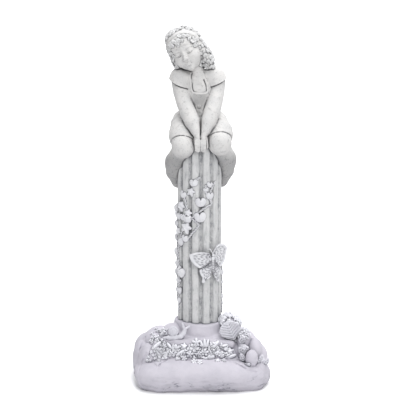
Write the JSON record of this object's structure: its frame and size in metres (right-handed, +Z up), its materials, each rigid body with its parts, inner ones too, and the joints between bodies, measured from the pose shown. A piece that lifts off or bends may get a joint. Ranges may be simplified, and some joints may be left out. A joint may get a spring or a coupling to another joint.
{
  "type": "garden statue of a girl on a column",
  "caption": "Cast stone garden statue of a seated girl astride a fluted column with vine, butterfly and snail, on a rocky flowered plinth.",
  "frame": {"origin": "on the column's axis, at the flat underside of the plinth", "axes": "+Z up along the column, -Y towards the front that the girl faces, +X to the viewer's right"},
  "size_m": [0.3538, 0.2825, 0.8999],
  "materials": {
    "cast_stone": "pale matt cast stone with dark grey antiquing in its grooves"
  },
  "bodies": {
    "root": {"girl_statue": "cast_stone"}
  },
  "joints": []
}
